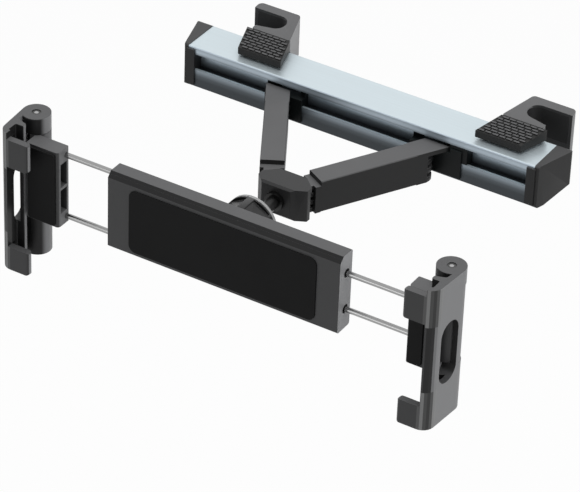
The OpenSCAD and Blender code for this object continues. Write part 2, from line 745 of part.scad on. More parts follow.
// Nut with a full rim at its back and wide notches in front of it
module locking_nut() color(dark_plastic) at_ball() {
    back = cup_back + slide_gap;
    rear = back + nut_lip;
    difference() {
        bar_y(nut_r, -nut_front, rear);
        bar_y(nut_bore_r, -nut_front - 1, back);
        bar_y(cup_mouth_r + 1.4, -1, rear + 1);
        for (i = [0 : nut_notches - 1]) rotate([0, 360 * (i + 0.5) / nut_notches, 0])
            box(-nut_r * 0.36, nut_r * 0.36, -nut_front - 1, rear - nut_rim, nut_r - nut_notch, nut_r + 2);
    }
}

// Cross-section of the holder, with its back face at 0 and its front to the left
module holder_profile(h) polygon([
    [0, -h / 2 + 1], [0, h / 2 - 1], [-1, h / 2], [-holder_t + holder_bevel, h / 2],
    [-holder_t, h / 2 - holder_bevel], [-holder_t, -h / 2 + 1], [-holder_t + 1, -h / 2],
    [-1, -h / 2]]);

module holder_slab(y0, y1) intersection() {
    translate([0, -holder_gap, 0]) along_x(holder_w) holder_profile(holder_h);
    box(-reach, reach, -holder_gap - y1, -holder_gap - y0, -reach, reach);
}

// Bores of one jaw's two rods, each with a wider stretch for its spring
module rod_bores(s, spacing, inner) mirror([side(s), 0, 0])
    for (z = [-1, 1]) translate([0, rod_v, z * spacing / 2]) {
        bar_x(rod_r + run_gap, 0, holder_w);
        bar_x(spring_bore_r, inner, holder_w / 2 - rod_guide);
        bar_x(rod_mouth_r, holder_w / 2 - rod_mouth_d, holder_w);
    }

// Half a section of the cup, turned round the joint's axis
module cup() rotate([-90, 0, 0]) rotate_extrude() difference() {
    translate([0, -holder_gap - 1]) square([cup_r, holder_gap + 1 + cup_back]);
    circle(r = socket_r);
    translate([-2 * cup_r, -2 * cup_r]) square([2 * cup_r, 4 * cup_r]);
}

module holder_rear_shell() color(plastic) at_holder() difference() {
    union() {
        holder_slab(0, back_shell_t);
        translate([-holder_shift, 0, holder_drop]) cup();
    }
    translate([-holder_shift, 0, holder_drop])
        for (a = [0, 90]) rotate([0, a, 0])
            box(-2 * cup_r, 2 * cup_r, 1, cup_back + 1, -cup_slit / 2, cup_slit / 2);
    rod_bores(-1, left_rods, left_rod_end - left_close - 4);
    rod_bores(1, right_rods, right_rod_end - right_close - 4);
}

module holder_front_shell() color(plastic) at_holder() difference() {
    holder_slab(back_shell_t, holder_t);
    translate([0, -holder_gap - holder_t + pad_seat, -pad_drop]) rotate([90, 0, 0])
        linear_extrude(height = 5) rounded_square(pad_w + 2 * seat_gap, pad_h + 2 * seat_gap, pad_corner);
}

module holder_pad() color(rubber) at_holder() {
    face = -holder_gap - holder_t + pad_seat;
    translate([0, face, -pad_drop]) rotate([90, 0, 0])
        linear_extrude(height = pad_t) rounded_square(pad_w, pad_h, pad_corner);
}

// A rod from its bracket to the collar that its spring pushes on
module rod(s, spacing, level, bracket_len, inner) color(steel) at_holder() mirror([side(s), 0, 0])
    translate([0, rod_v, level * spacing / 2]) {
        bar_x(rod_r, inner, grip_pin_x - bracket_len + 9);
        bar_x(spring_bore_r - 0.3, inner, inner + 2);
    }

module jaw_spring(s, spacing, level, inner) color(steel) at_holder() mirror([side(s), 0, 0]) {
    first = inner + 2 + seat_gap;
    room = holder_w / 2 - rod_guide - seat_gap - first;
    translate([first, rod_v, level * spacing / 2]) rotate([0, 90, 0])
        coil(spring_bore_r - 0.75, 0.4, room, round(room / 7));
}

// Bracket seen from above, with the grip pin at the origin and the holder to the left
module bracket_plan(length) {
    front = -bracket_back - bracket_t;
    small_r = boss_r - grip_wall - 3 * slide_gap;
    circle(r = small_r);
    intersection() {
        circle(r = boss_r);
        polygon([[0, 0], polar(40, 120), polar(60, 180), polar(60, 225), polar(40, 262)]);
    }
    polygon(rounded([
        [-length, -bracket_back], [-length, front], [-4.4, front], [-4.4, -bracket_back]],
        [0.8, 2.2, 1, 0]));
}

module bracket(s, length, spacing) color(plastic) at_grip(s) {
    mid_v = -bracket_back - bracket_t / 2;
    half_hole = bracket_t / 2 - bracket_wall;
    half_pocket = min(pocket_h, spacing - 2 * rod_r - 2 * bracket_wall) / 2;
    difference() {
        upright(-half_bracket, half_bracket) bracket_plan(length);
        translate([0, 0, -bracket_h]) cylinder(r = grip_pin_r + run_gap, h = 2 * bracket_h);
        for (z = [-1, 1]) translate([0, rod_v - grip_pin_v, z * spacing / 2])
            bar_x(rod_r + seat_gap, -length - 1, -length + 9);
        for (z = [-half_pocket, pocket_rib / 2])
            box(-length - 1, -length + pocket_d, mid_v - half_hole, mid_v + half_hole,
                z, z + half_pocket - pocket_rib / 2);
    }
}

module bracket_pad(s, length) color(rubber) at_grip(s) {
    front = -bracket_back - bracket_t;
    translate([(-length - 4.4) / 2, front, 0]) rotate([90, 0, 0]) linear_extrude(height = bracket_pad_t)
        rounded_square(length - 4.4 - 4, bracket_h - 3, 1.5);
}

// Grip seen from above: a wall, a ledge behind the tablet and a finger in front of it
module grip_plan() {
    inner = boss_r - grip_wall;
    finger_v = -grip_depth + finger_t;
    ledge_v = finger_v + tablet_room;
    nose_r = norm([grip_nose, grip_depth]);
    boss_touch = atan(grip_depth / grip_nose) - acos(boss_r / nose_r);
    boss_end = 15;
    polygon(rounded([
        [inner, 2.5], [4, ledge_v + 5.4], [-3, ledge_v + 3], [-3, ledge_v], [2.6, ledge_v],
        [2.6, finger_v], [-finger_reach + 1, finger_v], [-finger_reach, finger_v - 1.2],
        [-finger_reach, -grip_depth], [grip_nose, -grip_depth],
        polar(boss_r, -boss_touch), polar(boss_r, boss_end)],
        [0.8, 2, 0.8, 0.8, 1, 1, 0.8, 0.8, 2.2, grip_corner, 0, 0.8]));
}

// Face of a finger, seen from the front and rounded at its corners
module finger(z0, z1) translate([-finger_reach, 0, z0]) rotate([90, 0, 0])
    linear_extrude(height = 2 * grip_depth) polygon(rounded([
        [-1, 0], [finger_reach + 4, 0], [finger_reach + 4, z1 - z0], [-1, z1 - z0]],
        [finger_corner + 1, 0, 0, finger_corner + 1]));

module grip(s) color(plastic) at_grip(s) {
    finger_v = -grip_depth + finger_t;
    difference() {
        union() {
            upright(-grip_bottom, grip_top) grip_plan();
            upright(half_bracket + slide_gap, grip_top) circle(r = boss_r);
            upright(-grip_bottom, -half_bracket - slide_gap) circle(r = boss_r);
        }
        translate([0, 0, -grip_bottom - 1]) cylinder(r = grip_pin_r + seat_gap, h = reach);
        translate([0, 0, grip_top - 1.6]) cylinder(r = grip_pin_r + 1, h = 5);
        box(-finger_reach - 5, 1, -grip_depth - 5, finger_v + 1, -reach, reach);
        translate([0, -grip_depth * 0.4, (grip_top - grip_bottom) / 2 - 1.3]) {
            bar_half = (window_h - window_w) / 2;
            for (z = [-1, 1]) translate([0, 0, z * bar_half]) bar_x(window_w / 2, 0, 30);
            box(0, 30, -window_w / 2, window_w / 2, -bar_half, bar_half);
        }
    }
    intersection() {
        upright(-grip_bottom, grip_top) grip_plan();
        box(-reach, 3.5, -reach, finger_v + eps, -reach, reach);
        union() {
            finger(-grip_bottom, -grip_bottom + lower_finger);
            finger(grip_top - upper_finger, grip_top - finger_drop);
        }
    }
}

// Rubber on the floor of the grip and behind each finger
module grip_pads(s) color(rubber) at_grip(s) {
    finger_v = -grip_depth + finger_t;
    for (span = [[-grip_bottom + 2, -grip_bottom + lower_finger - 2],
                 [grip_top - upper_finger + 2, grip_top - finger_drop - 1]])
        upright(span[0], span[1]) polygon(rounded([
            [2.6 - grip_pad_t, finger_v + 5], [2.6 - grip_pad_t, finger_v + grip_pad_t],
            [-finger_reach + 3, finger_v + grip_pad_t], [-finger_reach + 3, finger_v],
            [2.6, finger_v], [2.6, finger_v + 5]], [0, 0.6, 0, 0, 1, 0]));
}

module grip_pin(s) color(steel) at_grip(s) {
    upright(-grip_bottom + 1, grip_top - 0.4) circle(r = grip_pin_r);
    upright(grip_top - 1.6 + seat_gap, grip_top - 0.4) circle(r = grip_pin_r + 0.8);
}

rail_extrusion();
end_cap(-1);  // end_cap_left
end_cap(1);  // end_cap_right
hook(-1);  // hook_left
hook(1);  // hook_right
hook_liner(-1);  // hook_liner_left
hook_liner(1);  // hook_liner_right
button(-1);  // button_left
button(1);  // button_right
button_spring(-1);  // button_spring_left
button_spring(1);  // button_spring_right
carriage(-1, left_carriage_out, left_carriage_out);  // carriage_left
carriage(1, carriage_out, carriage_foot);  // carriage_right
carriage_pin(-1);  // carriage_pin_left
carriage_pin(1);  // carriage_pin_right
arm(-1);  // arm_left
arm(1);  // arm_right
centre_block();
block_pin(-1);  // block_pin_left
block_pin(1);  // block_pin_right
ball_stud();
ball_seat_rear();
ball_seat_front();
locking_nut();
holder_rear_shell();
holder_front_shell();
holder_pad();
bracket(-1, left_bracket_len, left_rods);  // bracket_left
bracket(1, right_bracket_len, right_rods);  // bracket_right
bracket_pad(-1, left_bracket_len);  // bracket_pad_left
bracket_pad(1, right_bracket_len);  // bracket_pad_right
rod(-1, left_rods, 1, left_bracket_len, left_rod_end);  // rod_left_upper
rod(-1, left_rods, -1, left_bracket_len, left_rod_end);  // rod_left_lower
rod(1, right_rods, 1, right_bracket_len, right_rod_end);  // rod_right_upper
rod(1, right_rods, -1, right_bracket_len, right_rod_end);  // rod_right_lower
jaw_spring(-1, left_rods, 1, left_rod_end);  // jaw_spring_left_upper
jaw_spring(-1, left_rods, -1, left_rod_end);  // jaw_spring_left_lower
jaw_spring(1, right_rods, 1, right_rod_end);  // jaw_spring_right_upper
jaw_spring(1, right_rods, -1, right_rod_end);  // jaw_spring_right_lower
grip(-1);  // grip_left
grip(1);  // grip_right
grip_pads(-1);  // grip_pads_left
grip_pads(1);  // grip_pads_right
grip_pin(-1);  // grip_pin_left
grip_pin(1);  // grip_pin_right
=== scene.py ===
import json
import math

import bmesh
import bpy
from mathutils import Matrix, Vector


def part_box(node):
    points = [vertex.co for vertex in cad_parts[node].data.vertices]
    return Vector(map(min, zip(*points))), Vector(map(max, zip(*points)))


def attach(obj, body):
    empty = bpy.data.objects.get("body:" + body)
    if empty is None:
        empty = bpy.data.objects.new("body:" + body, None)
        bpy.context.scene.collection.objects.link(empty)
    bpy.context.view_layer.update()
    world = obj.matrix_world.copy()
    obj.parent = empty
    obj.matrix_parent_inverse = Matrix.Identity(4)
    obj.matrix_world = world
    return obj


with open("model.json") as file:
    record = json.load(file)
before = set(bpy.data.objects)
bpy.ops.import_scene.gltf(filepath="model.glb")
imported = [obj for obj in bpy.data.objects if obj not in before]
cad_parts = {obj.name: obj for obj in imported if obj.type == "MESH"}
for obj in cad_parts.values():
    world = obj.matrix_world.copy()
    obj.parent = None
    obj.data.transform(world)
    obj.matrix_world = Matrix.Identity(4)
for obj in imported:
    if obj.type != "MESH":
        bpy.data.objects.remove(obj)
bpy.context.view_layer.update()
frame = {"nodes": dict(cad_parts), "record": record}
NODES = frame["nodes"]

# Camera, as fitted to the photograph's straight edges
PHOTO_W = 580
FOCAL_PX = 3496.04
CAMERA_AT = (0.913187, -1.689356, 1.187371)
RIGHT = Vector((0.8501862, 0.52547965, 0.03247395))
DOWN = Vector((0.31849006, -0.4642175, -0.82647819))
AHEAD = Vector((-0.41922249, 0.71300299, -0.56203136))
SENSOR = 36.0
CLIP = (0.05, 50)

# The rail's slotted faces, from their lower to their upper edge: place and level of the painted
# shade and highlights
RAIL_LOW = -0.015
RAIL_TOP = 0.015
FRONT_TINT = (0.86, 1.0, 1.12)
FRONT_SHADE = ((0.0, 0.05), (0.2, 0.055), (0.3, 0.1), (0.37, 0.22), (0.42, 0.31), (0.5, 0.1),
               (0.8, 0.2), (0.85, 0.36), (0.88, 0.52), (0.92, 0.52), (0.955, 0.42), (1.0, 0.62))
# The hollow behind its lips: the middle across it, half its size, and its painted shade by height
RAIL_MID_Y = -0.0265
RAIL_INSIDE = 0.0132
DEEP_FROM = -0.0035
DEEP_TO = 0.006
HOLLOW_LOW, HOLLOW_HIGH, HOLLOW_FLOOR = 0.05, 0.6, 0.045
DIE_LINES = (3, 900, 900)
# The buttons' sloping top: a point on it across and up, its angle, and the height over it
# between which the painted shade of the valleys turns into the bars' tops
SLOPE_AT = (-0.0131, 0.0244)
SLOPE_ANGLE = math.radians(7)
BAR_FOOT, BAR_TOP = 0.00015, 0.0006
# The locking nut's rim with a painted highlight: the axis across and up, and where it starts out
# and back
NUT_AXIS = (-0.0094, -0.0042)
NUT_RIM_R = 0.0162
NUT_RIM_Y = -0.1688
RIM_BLEND = 0.0005
# The room between the grips' outer walls, where they get painted shade: its middle and half
# sizes, and how far the walls' inner faces, also painted shade, stand from the middle
GRIP_MIDDLE = (-0.007, -0.199, -0.017)
GRIP_HOLLOW = (0.1568, 0.0202, 0.05)
GRIP_INNER_WALL = (0.1498, 0.0012)
# The fingers' outer corner: how far out and ahead it starts, the room between the fingers
# (middle and half height), and its painted highlight and shade as it turns from the front to the
# side
CORNER_OUT = 0.147
CORNER_Y = -0.211
FINGER_ROOM = (-0.0165, 0.0235)
CORNER_SHADE = ((0.0, 0.05), (0.13, 0.1), (0.375, 0.22), (0.6, 0.06), (0.78, 0.04), (0.91, 0.1),
                (0.985, 0.3))

EDGE_WIDTH = 0.0004
WELD_WITHIN = 0.000001
# Screws on the holder's back: how far in from its ends, and over and under its middle
SCREW_IN = 0.016
SCREW_UP = 0.0125
SCREW_R = 0.0024
# Domes on the ends of the grips' pins, as radius and height
PIN_DOME = ((0.0014, -0.0004), (0.0014, 0.00002), (0.0012, 0.00018), (0.0008, 0.0003),
            (0.0003, 0.00035))

FLOOR_Z = -0.45
FLOOR_SIZE = 12
FLOOR_LEVEL = 0.9
FLOOR_WHITE = 0.95
WORLD_COLOUR = (0.95, 0.98, 1.0, 1)
WORLD_STRENGTH = 0.2
WHITE = (1, 1, 1, 1)
# Name, place, aim, size and watts
LAMPS = (("key", (0.1, -0.1, 1.5), (-0.02, -0.1, 0), (1.5, 1.2), 22),
         ("side", (1.7, -0.3, 0.4), (0, -0.1, 0), (1.0, 1.0), 5),
         ("front", (-0.3, -1.9, 0.4), (0, -0.1, 0), (1.4, 0.8), 5))

scene = bpy.context.scene
scene.view_settings.view_transform = "Standard"


def link(obj):
    scene.collection.objects.link(obj)
    return obj


def make_camera():
    data = bpy.data.cameras.new("camera")
    data.sensor_fit = "HORIZONTAL"
    data.sensor_width = SENSOR
    data.lens = FOCAL_PX * SENSOR / PHOTO_W
    data.clip_start, data.clip_end = CLIP
    obj = link(bpy.data.objects.new("camera", data))
    turn = Matrix((RIGHT, -DOWN, -AHEAD)).transposed().to_4x4()
    turn.translation = Vector(CAMERA_AT)
    obj.matrix_world = turn
    scene.camera = obj


# Nodes. A value is a number, a colour or the output of another node.

def node_set(name):
    mat = bpy.data.materials.new(name)
    mat.use_nodes = True
    nodes = mat.node_tree.nodes
    return mat, nodes, mat.node_tree.links, nodes["Principled BSDF"]


def grey(level, tint=(1.0, 1.0, 1.0)):
    return (level * tint[0], level * tint[1], level * tint[2], 1.0)


def feed(links, socket, value):
    if isinstance(value, (int, float, tuple)):
        socket.default_value = value
    else:
        links.new(value, socket)


def level_ramp(nodes, links, source, levels, tint=(1.0, 1.0, 1.0)):
    """Greys along a value, from (place, level) pairs."""
    node = nodes.new("ShaderNodeValToRGB")
    stops = node.color_ramp.elements
    stops[0].position, stops[0].color = levels[0][0], grey(levels[0][1], tint)
    stops[1].position, stops[1].color = levels[-1][0], grey(levels[-1][1], tint)
    for place, level in levels[1:-1]:
        stops.new(place).color = grey(level, tint)
    links.new(source, node.inputs["Fac"])
    return node.outputs["Color"]


def ramp(nodes, links, source, low, high):
    """From one level to another over the middle of a noise."""
    return level_ramp(nodes, links, source, ((0.3, low), (0.7, high)))


def object_coords(nodes, links, scale=(1, 1, 1)):
    coords = nodes.new("ShaderNodeTexCoord")
    mapping = nodes.new("ShaderNodeMapping")
    mapping.inputs["Scale"].default_value = scale
    links.new(coords.outputs["Object"], mapping.inputs["Vector"])
    return mapping.outputs["Vector"]


def noise(nodes, links, vector, scale, detail=3, rough=0.6):
    node = nodes.new("ShaderNodeTexNoise")
    node.inputs["Scale"].default_value = scale
    node.inputs["Detail"].default_value = detail
    node.inputs["Roughness"].default_value = rough
    links.new(vector, node.inputs["Vector"])
    return node.outputs["Fac"]


def bump(nodes, links, height, strength, distance, bsdf):
    node = nodes.new("ShaderNodeBump")
    node.inputs["Strength"].default_value = strength
    node.inputs["Distance"].default_value = distance
    links.new(height, node.inputs["Height"])
    links.new(node.outputs["Normal"], bsdf.inputs["Normal"])


def math_node(nodes, links, operation, *values):
    node = nodes.new("ShaderNodeMath")
    node.operation = operation
    for socket, value in zip(node.inputs, values):
        feed(links, socket, value)
    return node.outputs["Value"]


def opposite(nodes, links, value):
    return math_node(nodes, links, "SUBTRACT", 1.0, value)


def product(nodes, links, first, *others):
    for other in others:
        first = math_node(nodes, links, "MULTIPLY", first, other)
    return first


def rise(nodes, links, value, start, end, smooth=True):
    """0 to 1 as a value goes from start to end."""
    node = nodes.new("ShaderNodeMapRange")
    if smooth:
        node.interpolation_type = "SMOOTHSTEP"
    node.inputs["From Min"].default_value = start
    node.inputs["From Max"].default_value = end
    links.new(value, node.inputs["Value"])
    return node.outputs["Result"]


def part_of(nodes, links, output, axis):
    coords = nodes.new("ShaderNodeTexCoord")
    split = nodes.new("ShaderNodeSeparateXYZ")
    links.new(coords.outputs[output], split.inputs["Vector"])
    return split.outputs[axis]


def position(nodes, links, axis):
    return part_of(nodes, links, "Object", axis)


def facing(nodes, links, axis, start, end, both=False):
    """0 to 1 as the object's own surface turns towards one of its axes."""
    value = part_of(nodes, links, "Normal", axis)
    if both:
        value = math_node(nodes, links, "ABSOLUTE", value)
    return rise(nodes, links, value, start, end)


def off_middle(nodes, links, axis, middle):
    return math_node(nodes, links, "SUBTRACT", position(nodes, links, axis), middle)


def within(nodes, links, value, middle, half):
    """1 where the value is no further than half from the middle."""
    return math_node(nodes, links, "COMPARE", value, middle, half)


def inside_box(nodes, links, middle, half):
    """1 inside a box. Along an axis with no half size it has no end."""
    sides = [within(nodes, links, position(nodes, links, axis), mid, reach)
             for axis, mid, reach in zip("XYZ", middle, half) if reach]
    return product(nodes, links, *sides)


def blend(nodes, links, factor, first, second, kind="MIX"):
    node = nodes.new("ShaderNodeMix")
    node.data_type = "RGBA"
    node.blend_type = kind
    colours = [socket for socket in node.inputs if socket.type == "RGBA"]
    feed(links, node.inputs["Factor"], factor)
    for socket, value in zip(colours, (first, second)):
        feed(links, socket, value)
    return next(socket for socket in node.outputs if socket.type == "RGBA")


def repaint(mat, spot, colour):
    """Lays a colour over a material where spot is 1."""
    nodes, links = mat.node_tree.nodes, mat.node_tree.links
    base = nodes["Principled BSDF"].inputs["Base Color"]
    links.new(blend(nodes, links, spot, base.links[0].from_socket, colour), base)


# Materials

def moulded(name, side, top, rough, grain, tint=(1.0, 1.0, 1.02), specular=0.3, wall=None,
            chamfer=None, inner=None):
    """Moulded plastic or rubber with a fine spark-eroded grain and faint cloudiness.
    Faces that look up are painted lighter than the sides, as painted light on the tops. wall is
    the painted light level of the outer walls, chamfer the painted shade level of the faces that
    slope upwards, and inner a box (middle and half sizes) in which faces that don't look up get
    painted shade."""
    mat, nodes, links, bsdf = node_set(name)
    coords = object_coords(nodes, links)
    fine = noise(nodes, links, coords, 2600)
    cloud = noise(nodes, links, coords, 55, rough=0.5)
    # Painted light: faces that look up are lighter than the sides
    colour = blend(nodes, links, facing(nodes, links, "Z", 0.3, 0.9), grey(side, tint),
                   grey(top, tint))
    # Painted shade on the faces that slope upwards
    if chamfer:
        sloped = math_node(nodes, links, "SUBTRACT", facing(nodes, links, "Z", 0.3, 0.45),
                           facing(nodes, links, "Z", 0.85, 0.97))
        colour = blend(nodes, links, sloped, colour, grey(chamfer, tint))
    # Painted shade inside the box, on faces that don't look up
    if inner:
        up = facing(nodes, links, "Z", 0.5, 0.8)
        painted_shade = product(nodes, links, inside_box(nodes, links, *inner), opposite(nodes, links, up))
        colour = blend(nodes, links, painted_shade, colour, grey(side * 0.3, tint))
    # Painted light on the faces turned along X
    if wall:
        colour = blend(nodes, links, facing(nodes, links, "X", 0.75, 0.98, True), colour,
                       grey(wall, tint))
    clouds = ramp(nodes, links, cloud, 0.92, 1.0)
    links.new(blend(nodes, links, 1.0, colour, clouds, "MULTIPLY"), bsdf.inputs["Base Color"])
    links.new(ramp(nodes, links, cloud, rough - 0.04, rough + 0.05), bsdf.inputs["Roughness"])
    bsdf.inputs["Specular IOR Level"].default_value = specular
    bump(nodes, links, fine, grain, 0.00004, bsdf)
    return mat


def button_plastic(name, low, high, rough):
    """Moulded plastic whose valleys between the raised bars get painted shade, darker than the
    bars.
    """
    mat = moulded(name, low, high, rough, 0.35, specular=0.2)
    nodes, links = mat.node_tree.nodes, mat.node_tree.links
    slope = product(nodes, links, position(nodes, links, "Y"), math.tan(SLOPE_ANGLE))
    height = math_node(nodes, links, "SUBTRACT", position(nodes, links, "Z"), slope)
    foot = SLOPE_AT[1] - SLOPE_AT[0] * math.tan(SLOPE_ANGLE)
    lift = rise(nodes, links, height, foot + BAR_FOOT, foot + BAR_TOP)
    # Painted shade in the valleys between the bars
    repaint(mat, opposite(nodes, links, lift), grey(low))
    return mat


def paint_inner_wall_shade(mat, middle, distance, half, level):
    """The inner faces of the walls that stand at a distance from the middle plane get painted
    shade.
    """
    nodes, links = mat.node_tree.nodes, mat.node_tree.links
    off = math_node(nodes, links, "ABSOLUTE", off_middle(nodes, links, "X", middle))
    wall = product(nodes, links, within(nodes, links, off, distance, half),
                   facing(nodes, links, "X", 0.75, 0.95, True))
    # Painted shade on the walls' inner faces
    repaint(mat, wall, grey(level))


def paint_corner_light(mat, middle, levels):
    """Painted highlight and shade on the rounded outer corner of the fingers, by how far it has
    turned from the front to the side."""
    nodes, links = mat.node_tree.nodes, mat.node_tree.links
    off = math_node(nodes, links, "ABSOLUTE", off_middle(nodes, links, "X", middle))
    room = within(nodes, links, position(nodes, links, "Z"), *FINGER_ROOM)
    level_face = facing(nodes, links, "Z", 0.1, 0.3, True)
    spot = product(nodes, links, math_node(nodes, links, "GREATER_THAN", off, CORNER_OUT),
                   math_node(nodes, links, "LESS_THAN", position(nodes, links, "Y"), CORNER_Y),
                   opposite(nodes, links, room), opposite(nodes, links, level_face))
    turn = math_node(nodes, links, "ABSOLUTE", part_of(nodes, links, "Normal", "X"))
    repaint(mat, spot, level_ramp(nodes, links, turn, levels))


def paint_rim_highlight(mat, axis, radius, start, level):
    """The turned rim at a piece's rear end, painted lighter than the rest as a painted highlight.
    axis gives the place of the piece's axis across and up."""
    nodes, links = mat.node_tree.nodes, mat.node_tree.links
    edge = rise(nodes, links, position(nodes, links, "Y"), start, start + RIM_BLEND, False)
    across, up = [off_middle(nodes, links, name, middle) for name, middle in zip("XZ", axis)]
    reach = math_node(nodes, links, "SQRT", math_node(
        nodes, links, "ADD", product(nodes, links, across, across), product(nodes, links, up, up)))
    outer = math_node(nodes, links, "GREATER_THAN", reach, radius)
    # Painted highlight on the rim
    repaint(mat, product(nodes, links, edge, outer), grey(level))


def anodised(name, colour, rough, metallic=0.65):
    """Extruded and anodised aluminium, with faint die lines along the rail. The slotted faces are
    gunmetal with painted shade and highlights by height: deepest at the slot and brighter at the
    rounded edge above. The hollow behind the lips gets painted shade by height."""
    mat, nodes, links, bsdf = node_set(name)
    lines = noise(nodes, links, object_coords(nodes, links, DIE_LINES), 1.0)
    grain = noise(nodes, links, object_coords(nodes, links), 3200, 2)
    up = position(nodes, links, "Z")
    # Painted shade and highlights on the slotted faces, by height
    face = level_ramp(nodes, links, rise(nodes, links, up, RAIL_LOW, RAIL_TOP, False),
                      FRONT_SHADE, FRONT_TINT)
    base = blend(nodes, links, facing(nodes, links, "Y", 0.35, 0.8, True), colour + (1.0,), face)
    # Painted shade in the hollow behind the lips, darker towards the bottom
    inside = inside_box(nodes, links, (0, RAIL_MID_Y, 0), (0, RAIL_INSIDE, RAIL_INSIDE))
    hollow = blend(nodes, links, rise(nodes, links, up, DEEP_FROM, DEEP_TO, False),
                   grey(HOLLOW_LOW, FRONT_TINT), grey(HOLLOW_HIGH, FRONT_TINT))
    hollow = blend(nodes, links, facing(nodes, links, "Z", 0.3, 0.8), hollow,
                   grey(HOLLOW_FLOOR, FRONT_TINT))
    base = blend(nodes, links, inside, base, hollow)
    streaks = ramp(nodes, links, lines, 0.95, 1.0)
    links.new(blend(nodes, links, 1.0, base, streaks, "MULTIPLY"), bsdf.inputs["Base Color"])
    links.new(ramp(nodes, links, lines, rough, rough + 0.12), bsdf.inputs["Roughness"])
    bsdf.inputs["Metallic"].default_value = metallic
    bump(nodes, links, math_node(nodes, links, "MULTIPLY_ADD", grain, 0.4, lines), 0.25,
         0.00003, bsdf)
    return mat


def polished(name, level, rough, axis_scale):
    """Drawn or turned steel with fine marks."""
    mat, nodes, links, bsdf = node_set(name)
    marks = noise(nodes, links, object_coords(nodes, links, axis_scale), 1.0)
    links.new(ramp(nodes, links, marks, level * 0.94, level), bsdf.inputs["Base Color"])
    links.new(ramp(nodes, links, marks, rough, rough + 0.08), bsdf.inputs["Roughness"])
    bsdf.inputs["Metallic"].default_value = 1.0
    bump(nodes, links, marks, 0.1, 0.00002, bsdf)
    return mat


# Scale of the marks along X, Y and Z
DRAWN = (6, 1500, 1500)
TURNED = (900, 900, 900)
# The levels below paint light and shade by facing: tops painted lighter, walls turned along X
# painted light, the frame's chamfer painted shade
PLASTIC = moulded("black_plastic", 0.05, 0.12, 0.44, 0.35, specular=0.22, wall=0.2)
HOOK = moulded("hook_plastic", 0.05, 0.13, 0.4, 0.3, specular=0.25, wall=0.31)
FRAME = moulded("frame_plastic", 0.058, 0.11, 0.42, 0.35, specular=0.22, wall=0.46, chamfer=0.012)
GRIP = moulded("grip_plastic", 0.05, 0.1, 0.44, 0.35, specular=0.22, wall=0.3,
               inner=(GRIP_MIDDLE, GRIP_HOLLOW))
DARK = moulded("dark_plastic", 0.022, 0.06, 0.42, 0.3, specular=0.2)
RUBBER = moulded("soft_rubber", 0.008, 0.014, 0.55, 0.25, specular=0.08)
NUT = moulded("nut_plastic", 0.014, 0.03, 0.26, 0.1, specular=0.3)
LINER = moulded("liner_rubber", 0.032, 0.04, 0.5, 0.25, specular=0.15)
ARM = moulded("arm_plastic", 0.022, 0.12, 0.42, 0.3, specular=0.18)
BLOCK = moulded("block_plastic", 0.034, 0.046, 0.42, 0.3, specular=0.2)
CARRIAGE = moulded("slider_plastic", 0.009, 0.02, 0.4, 0.3, (0.85, 1.0, 1.02), specular=0.12)
BUTTON = button_plastic("button_plastic", 0.02, 0.1, 0.45)
ALUMINIUM = anodised("anodised_aluminium", (0.66, 0.745, 0.785), 0.34)
CHROME = polished("polished_rod", 0.34, 0.16, DRAWN)
STEEL = polished("turned_steel", 0.45, 0.28, TURNED)
BLACK_STEEL = polished("blackened_steel", 0.05, 0.3, TURNED)
SCREW = polished("screw_steel", 0.09, 0.28, TURNED)
SPRING = polished("spring_wire", 0.5, 0.3, (400, 400, 400))
SEAT = moulded("bearing_plastic", 0.5, 0.5, 0.3, 0.1, (1.0, 1.0, 0.96))
# Painted highlight on the nut's rim, painted light and shade on the fingers' corner, painted shade
# on the grips' inner walls
paint_rim_highlight(NUT, NUT_AXIS, NUT_RIM_R, NUT_RIM_Y, 0.34)
paint_corner_light(GRIP, GRIP_MIDDLE[0], CORNER_SHADE)
paint_inner_wall_shade(GRIP, GRIP_MIDDLE[0], *GRIP_INNER_WALL, 0.018)

SLOT_MATERIAL = {
    "extrusion": ALUMINIUM, "plastic": PLASTIC, "dark_plastic": DARK, "soft_rubber": RUBBER,
    "rod_steel": CHROME, "pin_steel": STEEL, "spring_steel": SPRING, "bearing": SEAT,
    "black_steel": BLACK_STEEL,
}
NODE_MATERIAL = {
    "hook_liner_left": LINER, "hook_liner_right": LINER,
    "grip_pin_left": SCREW, "grip_pin_right": SCREW,
    "grip_left": GRIP, "grip_right": GRIP, "locking_nut": NUT, "arm_left": ARM, "arm_right": ARM,
    "centre_block": BLOCK, "button_left": BUTTON, "button_right": BUTTON,
    "hook_left": HOOK, "hook_right": HOOK, "carriage_left": CARRIAGE, "carriage_right": CARRIAGE,
    "holder_rear_shell": FRAME, "holder_front_shell": FRAME,
}


def dress_nodes():
    for part in frame["record"]["subparts"]:
        obj = NODES[part["node"]]
        obj.data.materials.clear()
        slot = SLOT_MATERIAL[part["material_slot"]]
        obj.data.materials.append(NODE_MATERIAL.get(part["node"], slot))


def soften(names, width, segments=2):
    """Small rounded edges, as mouldings have, on a node that stays the CAD's own."""
    for name in names:
        obj = NODES[name]
        weld = obj.modifiers.new("weld", "WELD")
        weld.merge_threshold = WELD_WITHIN
        edge = obj.modifiers.new("edge", "BEVEL")
        edge.width = width
        edge.segments = segments
        edge.limit_method = "ANGLE"
        edge.angle_limit = math.radians(35)
        edge.harden_normals = True
        edge.use_clamp_overlap = True


# Small fasteners

